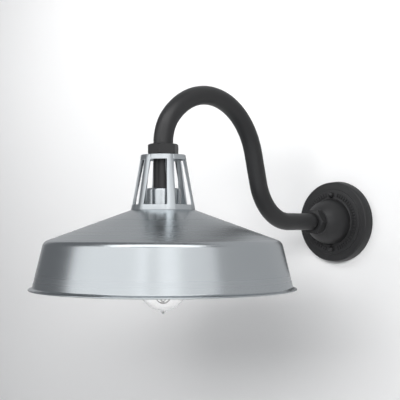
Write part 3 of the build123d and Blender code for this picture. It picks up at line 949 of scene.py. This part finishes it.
# ---- wall plate -------------------------------------------------------------------------------------
def plate_section(sizes):
    """Half section of the hollow casting as (radius, distance from the wall)."""
    back = -high("wall_canopy").y
    hub = -HUB_Y
    centre = sizes.dome_r - sizes.dome_arc
    bore = PIPE_BORE_R
    shoulder = hub - 1.3 * MM
    foot_deg = math.degrees(math.asin(1.0 * MM / sizes.dome_arc))
    top_deg = math.degrees(math.asin((shoulder - sizes.disc_out) / sizes.dome_arc))
    dome = arc((centre, sizes.disc_out), sizes.dome_arc, foot_deg, top_deg, 18)
    inside_r = sizes.dome_arc - sizes.wall
    roof_r = bore + 9 * MM
    roof_deg = math.degrees(math.acos((roof_r - centre) / inside_r))
    hollow = arc((centre, sizes.disc_out), inside_r, roof_deg, 0, 12)
    boss_r = bore + 4.6 * MM
    inner_hub = 46 * MM
    ceiling = sizes.rim_out - sizes.wall
    inner_edge = PLATE_R - sizes.wall - 0.7 * MM
    return [
        (PLATE_R, back, 0.5 * MM, 2),
        (sizes.face_r, sizes.rim_out, 2.6 * MM, 6),
        (sizes.disc_r + 0.4 * MM, sizes.rim_out, 0.6 * MM, 3),
        (sizes.disc_r, sizes.disc_out, 0.8 * MM, 3),
        (sizes.dome_r + 1.0 * MM, sizes.disc_out, 0.8 * MM, 3),
        *dome[:-1],
        (*dome[-1], 0.8 * MM, 3),
        (dome[-1][0] - 0.2 * MM, hub, 0.5 * MM, 2),
        (bore, hub),
        (bore, inner_hub),
        (boss_r, inner_hub, 0.8 * MM, 2),
        (boss_r, hollow[0][1]),
        *hollow,
        (hollow[-1][0], ceiling),
        (inner_edge, ceiling, 2.0 * MM, 3),
        (inner_edge, back),
    ]


def relief_bars(sizes):
    """Ring of short raised bars between the dome and the edge, left out beside the two acorn nuts."""
    bar = bmesh.new()
    bmesh.ops.create_cube(bar, size=1, matrix=Matrix.Diagonal((6.4 * MM, 2.6 * MM, 3.4 * MM, 1)))
    tops = [e for e in bar.edges if all(v.co.z > 0 for v in e.verts)]
    bevelled(bar, tops, 0.35 * MM, 2)
    spots = []
    for n in range(sizes.bars):
        turn = (n + 0.5) * FULL_TURN / sizes.bars
        from_nut = abs(abs(turn % FULL_TURN - math.pi) - math.pi / 2)
        if from_nut > sizes.gap:
            lift = Matrix.Translation((sizes.ring_r, 0, sizes.disc_out))
            spots.append(Matrix.Rotation(turn, 4, "Z") @ lift)
    return copies(bar, spots)


class LANTERN_OT_wall_plate(bpy.types.Operator):
    """Cast the round wall plate with its dome and its ring of raised bars"""

    bl_idname = "lantern.wall_plate"
    bl_label = "Wall plate"

    def execute(self, context):
        sizes = context.scene.lantern.plate
        mesh = joined([spun(plate_section(sizes), steps=144), relief_bars(sizes)])
        placed(mesh, on_wall())
        piece("cast_wall_plate", mesh, coated_casting, FIXTURE, ["wall_canopy"], crease=40)
        return {"FINISHED"}


def threaded(mesh, root, crest, pitch, foot, top, steps=48):
    """Thread as a wall from foot to top: one screw turn of a toothed wire, cut level at both ends."""
    start = foot - 1.5 * pitch
    count = math.ceil((top - start) / pitch) + 1
    wire = []
    for tooth in range(count):
        base = start + tooth * pitch
        for radius, share_of_pitch in ((root, 0), (root, 0.18), (crest, 0.45), (crest, 0.73)):
            wire.append((radius, base + pitch * share_of_pitch))
    section(mesh, wire, closed=False)
    turned(mesh, steps, climb=pitch)
    for level, side in ((foot, -1), (top, 1)):
        sliced(mesh, (0, 0, level), (0, 0, side), clear=True)


def rim_at(mesh, level):
    """Open edges of a mesh at a height."""
    return [e for e in mesh.edges if e.is_boundary and all(abs(v.co.z - level) < SAME for v in e.verts)]


def capped(mesh, level, radius, rise):
    """Closes an open end with a chamfer."""
    loop = rim_at(mesh, level)
    lid = ring(mesh, 48, radius, level + rise)
    bmesh.ops.bridge_loops(mesh, edges=loop + lid)
    bmesh.ops.contextual_create(mesh, geom=lid)


class LANTERN_OT_plate_hardware(bpy.types.Operator):
    """Make the acorn nuts and the threaded studs of the wall plate"""

    bl_idname = "lantern.plate_hardware"
    bl_label = "Plate hardware"

    def execute(self, context):
        sizes = context.scene.lantern.plate
        seats = [on_wall((0, 0, side * STUD_Z)) for side in (1, -1)]
        nut_r = half_width("canopy_cap_nuts")
        dome_r = nut_r - 0.3 * MM
        wall_top = sizes.disc_out + 2.0 * MM
        outline = [
            (2.5 * MM, sizes.disc_out),
            (nut_r, sizes.disc_out, 0.4 * MM, 2),
            (nut_r, wall_top - 0.1 * MM, 0.3 * MM, 2),
            (dome_r, wall_top),
            *arc((0, wall_top), dome_r, 6, 90, 10),
        ]
        mesh = copies(spun(outline, steps=40, closed=False), seats)
        piece("acorn_nuts", mesh, coated_hardware, FIXTURE, ["canopy_cap_nuts"])
        ends = []
        behind = -high("canopy_studs").y
        front = -low("canopy_studs").y
        lead = 0.4 * MM
        thin = (2.08 * MM, 0.794 * MM, behind + lead, lead)
        thick = (2.4 * MM, 1.058 * MM, lead, front - lead)
        for radius, pitch, foot, top in (thin, thick):
            core_r = radius - 0.6 * pitch
            face_r = radius - 0.7 * pitch
            end = bmesh.new()
            threaded(end, core_r, radius, pitch, foot, top, steps=24)
            capped(end, foot, face_r, -lead if foot < 0 else 0)
            capped(end, top, face_r, lead if top > lead else 0)
            closed_up(end)
            ends.append(end)
        mesh = copies(joined(ends), seats)
        piece("threaded_studs", mesh, plated_steel, FIXTURE, ["canopy_studs"])
        return {"FINISHED"}


class LANTERN_OT_connectors(bpy.types.Operator):
    """Mould the two ribbed twist-on wire connectors behind the plate"""

    bl_idname = "lantern.connectors"
    bl_label = "Wire connectors"

    def execute(self, context):
        foot = -high("wire_connectors").y
        top = -low("wire_connectors").y
        wide = (high("wire_connectors").z - low("wire_connectors").z) / 2
        offset = half_width("wire_connectors") - wide
        wings = 6
        bore = 1.3 * MM
        closed_end = foot + 10 * MM

        def ribbed(radius, rib):
            return lambda turn: radius + rib * (math.cos(turn * wings) ** 4 - 1)

        mesh = bmesh.new()
        levels = [
            (ribbed(0.5 * wide, 0), foot),
            (ribbed(0.72 * wide, 0), foot + 0.5 * MM),
            (ribbed(0.84 * wide, 0.4 * MM), foot + 2.5 * MM),
            (ribbed(wide, 0.6 * MM), top - 3 * MM),
            (ribbed(wide, 0), top - 2 * MM),
            (ribbed(wide, 0), top - 0.3 * MM),
            (ribbed(wide - 0.3 * MM, 0), top),
            (ribbed(bore + 0.5 * MM, 0), top),
            (ribbed(bore, 0), top - 1 * MM),
            (ribbed(bore, 0), closed_end),
        ]
        lofted(mesh, [ring(mesh, 72, radius, z) for radius, z in levels])
        mesh = copies(mesh, [on_wall((side * offset, 0, 0)) for side in (1, -1)])
        piece("twist_connectors", mesh, moulded_nylon, FIXTURE, ["wire_connectors"])
        return {"FINISHED"}


# ---- lamp holder and bulb ---------------------------------------------------------------------------
class LANTERN_OT_socket_cup(bpy.types.Operator):
    """Turn the cup that covers the lamp holder"""

    bl_idname = "lantern.socket_cup"
    bl_label = "Socket cup"

    def execute(self, context):
        outer = [
            (STEM_R + FIT, CUP_TOP_Z),
            (CUP_R, CUP_TOP_Z, 3.0 * MM, 8),
            (CUP_R, CUP_LOW_Z, 0.5 * MM, 3),
        ]
        inner = beside(outer, 1.2 * MM)
        mesh = spun(outer + inner[::-1], steps=96, span=6 * MM)
        placed(mesh, on_lamp())
        piece("turned_socket_cup", mesh, turned_aluminium, FIXTURE, ["socket_cup"])
        return {"FINISHED"}


class LANTERN_OT_screw_shell(bpy.types.Operator):
    """Roll the threaded brass shell of the lamp holder"""

    bl_idname = "lantern.screw_shell"
    bl_label = "Screw shell"

    def execute(self, context):
        pitch = context.scene.lantern.bulb.pitch
        sheet = 0.4 * MM
        foot, top = low("screw_shell").z, high("screw_shell").z
        mesh = bmesh.new()
        root, crest = 13.5 * MM, 13.9 * MM
        threaded(mesh, root + sheet, crest + sheet, pitch, foot, top - sheet)
        lid = ring(mesh, 48, crest, top)
        eye = ring(mesh, 48, 10.1 * MM, top)
        bmesh.ops.bridge_loops(mesh, edges=rim_at(mesh, top - sheet) + lid)
        bmesh.ops.bridge_loops(mesh, edges=lid + eye)
        closed_up(mesh)
        bmesh.ops.solidify(mesh, geom=mesh.faces[:], thickness=sheet)
        placed(mesh, on_lamp())
        piece("threaded_screw_shell", mesh, rolled_brass, FIXTURE, ["screw_shell"])
        return {"FINISHED"}


def bulb_line(sizes, inset):
    """Side of the bulb from its bottom to the cap, drawn in from the glass surface by inset."""
    radius = sizes.belly_r - inset
    centre = low("bulb_glass").z + sizes.tip + sizes.belly_r
    join = 12.0
    belly = arc((0, centre), radius, -90, join, 30)
    lean = math.radians(join)
    neck = Vector((sizes.neck_r + 2 * MM - inset, -15 * MM))
    shoulder = Vector(belly[-1])
    reach = (neck - shoulder).length
    out = shoulder + Vector((-math.sin(lean), math.cos(lean))) * reach * 0.42
    back = neck - Vector((-0.2, 0.98)) * reach * 0.34
    flank = interpolate_bezier(shoulder, out, back, neck, 20)
    throat = (sizes.neck_r - inset, -8.5 * MM)
    return belly + [tuple(point)[:2] for point in flank[1:-1]] + [(*neck, 4 * MM, 3), (*throat, 4 * MM, 3)]


class LANTERN_OT_bulb(bpy.types.Operator):
    """Blow the bulb's glass and roll its threaded cap"""

    bl_idname = "lantern.bulb"
    bl_label = "Bulb glass and cap"

    def execute(self, context):
        sizes = context.scene.lantern.bulb
        outer = bulb_line(sizes, 0)
        inner = bulb_line(sizes, sizes.glass)
        foot = low("bulb_glass").z
        mouth = high("bulb_glass").z
        belly_low = outer[0][1]
        seal = [
            (0, foot),
            (1.0 * MM, foot + 0.2 * MM, 0.4 * MM, 3),
            (1.2 * MM, foot + 0.9 * MM),
            (1.9 * MM, belly_low - 1.7 * MM, 1.5 * MM, 3),
            (4.8 * MM, belly_low + 0.35 * MM, 2.5 * MM, 4),
        ]
        wide = [point for point in outer if point[0] > 7 * MM]
        ends = [(sizes.neck_r, mouth), (sizes.neck_r - sizes.glass, mouth)]
        mesh = spun(seal + wide + ends + inner[::-1], steps=96, closed=False)
        placed(mesh, on_lamp())
        piece("blown_bulb_glass", mesh, blown_glass, BULB, ["bulb_glass"], crease=60)

        cap_foot, cap_top = low("bulb_screw_cap").z, high("bulb_screw_cap").z
        lip = cap_top - 2.2 * MM
        mesh = bmesh.new()
        root, crest, sheet = 12.7 * MM, 13.1 * MM, 0.4 * MM
        threaded(mesh, root, crest, sizes.pitch, cap_foot, lip)
        eye = ring(mesh, 48, 9.4 * MM, cap_top)
        bmesh.ops.bridge_loops(mesh, edges=rim_at(mesh, lip) + eye)
        closed_up(mesh)
        bmesh.ops.solidify(mesh, geom=mesh.faces[:], thickness=sheet)
        placed(mesh, on_lamp())
        piece("threaded_bulb_cap", mesh, nickel_brass, BULB, ["bulb_screw_cap"])
        return {"FINISHED"}


class LANTERN_OT_finish_frame(bpy.types.Operator):
    """Give the parts that keep their CAD shape their finishes"""

    bl_idname = "lantern.finish_frame"
    bl_label = "Finish the kept parts"

    def execute(self, context):
        kept = {
            plated_steel: ["mounting_strap", "reducer_bushing", "cup_lock_nut", "socket_mount_screws"],
            green_steel: ["ground_screw"],
            bare_copper: ["ground_lead"],
            sponge_rubber: ["wall_gasket"],
            glazed_porcelain: ["porcelain_socket"],
            rolled_brass: ["centre_contact", "terminal_screws"],
            black_vinyl: ["live_wire"],
            white_vinyl: ["neutral_wire"],
            cap_glass: ["bulb_insulator"],
            soft_solder: ["bulb_tip_contact"],
            pressed_glass: ["glass_stem"],
            drawn_tungsten: ["filament", "filament_supports"],
        }
        for maker, nodes in kept.items():
            for node in nodes:
                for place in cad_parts[node].material_slots:
                    place.material = finish(maker)
        return {"FINISHED"}


# ---- stage ------------------------------------------------------------------------------------------
def one_sided(name, tone):
    """Matt paint that shows only from its front, so that the lantern can be seen from behind it."""
    material = blank(name)
    place = add(material, "TexCoord").outputs["Object"]
    roller = add(material, "TexNoise", [(place, "Vector"), (1 / (3 * MM), "Scale")])
    relief = add(material, "Bump", [(roller.outputs[0], "Height"), (0.02 * MM, "Distance")])
    paint = add(
        material,
        "BsdfDiffuse",
        [(rgba(tone), "Color"), (relief.outputs[0], "Normal")],
    )
    side = add(material, "NewGeometry").outputs["Backfacing"]
    through = add(material, "BsdfTransparent")
    both = add(material, "MixShader", [(side, 0), (paint.outputs[0], 1), (through.outputs[0], 2)])
    add(material, "OutputMaterial", [(both.outputs[0], "Surface")])
    return material


def sheet_of(name, size, place, material):
    """Flat square of backdrop, facing +Z before it is placed."""
    mesh = bmesh.new()
    bmesh.ops.create_grid(mesh, x_segments=1, y_segments=1, size=size / 2)
    placed(mesh, place)
    thing = as_object(name, mesh, material)
    return thing


def direction(turn, rise):
    """Unit vector from the lamp, turn degrees to the right of the camera and rise degrees up."""
    azimuth = bpy.context.scene.lantern.stage.azimuth
    towards = Vector((math.sin(azimuth), -math.cos(azimuth), 0))
    right = Vector((math.cos(azimuth), math.sin(azimuth), 0))
    turn, rise = math.radians(turn), math.radians(rise)
    level = towards * math.cos(turn) + right * math.sin(turn)
    return level * math.cos(rise) + Z_AXIS * math.sin(rise)


def soft_light(name, place, width, height, glow, for_gloss):
    """Rectangle of an even glow that shines along its own -Z.

    One for gloss shows only in reflections and a matt one lights only matt surfaces, so that the streaks on
    the metal and the shadow on the wall are set one without the other. The camera sees neither.
    """
    light = bpy.data.lights.new(name, "AREA")
    light.shape = "RECTANGLE"
    light.size = width
    light.size_y = height
    light.energy = glow * math.pi * width * height
    thing = bpy.data.objects.new(name, light)
    thing.matrix_world = place
    bpy.context.scene.collection.objects.link(thing)
    thing.visible_camera = False
    thing.visible_diffuse = not for_gloss
    thing.visible_glossy = for_gloss
    thing.visible_transmission = for_gloss


def facing_lamp(turn, rise, distance):
    """Place at a distance from the lamp, turned to face it."""
    way = direction(turn, rise)
    return Matrix.Translation(LAMP_PLACE + way * distance) @ way.to_track_quat("Z", "Y").to_matrix().to_4x4()


class LANTERN_OT_stage(bpy.types.Operator):
    """Set up the wall, the floor, the soft lights and the camera"""

    bl_idname = "lantern.stage"
    bl_label = "Stage"

    def execute(self, context):
        sizes = context.scene.lantern.stage
        room = 7.0
        wall_place = on_wall((0, 0.5 * MM, 0))
        floor_place = Matrix.Translation((0, 0, -0.9))
        sheet_of("back_wall", room, wall_place, one_sided("wall_paint", sizes.wall)).visible_glossy = False
        sheet_of("floor", room, floor_place, one_sided("floor_paint", sizes.floor))

        world = bpy.data.worlds.new("soft_room")
        world.use_nodes = True
        even = world.node_tree.nodes["Background"]
        even.inputs["Color"].default_value = rgba(linear("#F2F5FA"))
        even.inputs["Strength"].default_value = sizes.sky
        context.scene.world = world

        by_wall = on_wall((-0.35, -0.6, 0.42))
        on_paint = Matrix.Translation((0.8, 0.3 * MM, 0.3)) @ Matrix.Rotation(-math.pi / 2, 4, "X")
        for_matt = (
            ("key", facing_lamp(-14, 16, 1.8), 1.2, 0.45, sizes.key),
            ("wash", by_wall, 1.1, 0.35, sizes.wash),
        )
        for_gloss = (
            ("left_panel", facing_lamp(-50, 12, 1.4), 1.95, 1.5, sizes.streak),
            ("front_panel", facing_lamp(17, 12, 1.4), 1.8, 1.5, sizes.front),
            ("highlight", facing_lamp(7, 12, 1.5), 0.45, 1.6, sizes.highlight),
            ("top_panel", facing_lamp(-8, 60, 1.4), 1.9, 0.7, sizes.top),
            ("wall_gloss", on_paint, 4.8, 2.0, sizes.wall_gloss),
        )
        for light in for_matt:
            soft_light(*light, for_gloss=False)
        for light in for_gloss:
            soft_light(*light, for_gloss=True)

        camera = bpy.data.cameras.new("view")
        camera.lens = sizes.lens
        camera.sensor_width = 36
        camera.clip_start = 0.01
        thing = bpy.data.objects.new("view", camera)
        back = direction(0, -math.degrees(sizes.pitch))
        thing.location = Vector(sizes.aim) + back * sizes.distance
        thing.rotation_euler = back.to_track_quat("Z", "Y").to_euler()
        context.scene.collection.objects.link(thing)
        context.scene.camera = thing
        context.scene.view_settings.view_transform = "Standard"
        return {"FINISHED"}


# ---- add-on -----------------------------------------------------------------------------------------
class LanternSettings(bpy.types.PropertyGroup):
    shade: PointerProperty(type=ShadeSizes)
    cage: PointerProperty(type=CageSizes)
    arm: PointerProperty(type=ArmSizes)
    plate: PointerProperty(type=PlateSizes)
    bulb: PointerProperty(type=BulbSizes)
    finishes: PointerProperty(type=Finishes)
    stage: PointerProperty(type=StageSettings)


OPERATORS = (
    LANTERN_OT_shade,
    LANTERN_OT_vent_cage,
    LANTERN_OT_rivets,
    LANTERN_OT_lock_nuts,
    LANTERN_OT_gooseneck,
    LANTERN_OT_stem,
    LANTERN_OT_wall_plate,
    LANTERN_OT_plate_hardware,
    LANTERN_OT_connectors,
    LANTERN_OT_socket_cup,
    LANTERN_OT_screw_shell,
    LANTERN_OT_bulb,
    LANTERN_OT_finish_frame,
    LANTERN_OT_stage,
)


class LANTERN_PT_panel(bpy.types.Panel):
    """Lists the makers of the lantern's pieces"""

    bl_idname = "LANTERN_PT_panel"
    bl_label = "Gooseneck Wall Lantern"
    bl_space_type = "VIEW_3D"
    bl_region_type = "UI"
    bl_category = "Lantern"

    def draw(self, context):
        for operator in OPERATORS:
            self.layout.operator(operator.bl_idname)


GROUPS = (ShadeSizes, CageSizes, ArmSizes, PlateSizes, BulbSizes, Finishes, StageSettings, LanternSettings)
CLASSES = GROUPS + OPERATORS + (LANTERN_PT_panel,)


def register():
    for kind in CLASSES:
        bpy.utils.register_class(kind)
    bpy.types.Scene.lantern = PointerProperty(type=LanternSettings)


def unregister():
    del bpy.types.Scene.lantern
    for kind in reversed(CLASSES):
        bpy.utils.unregister_class(kind)


def main():
    register()
    for operator in OPERATORS:
        group, name = operator.bl_idname.split(".")
        getattr(getattr(bpy.ops, group), name)()


if __name__ == "__main__":
    main()
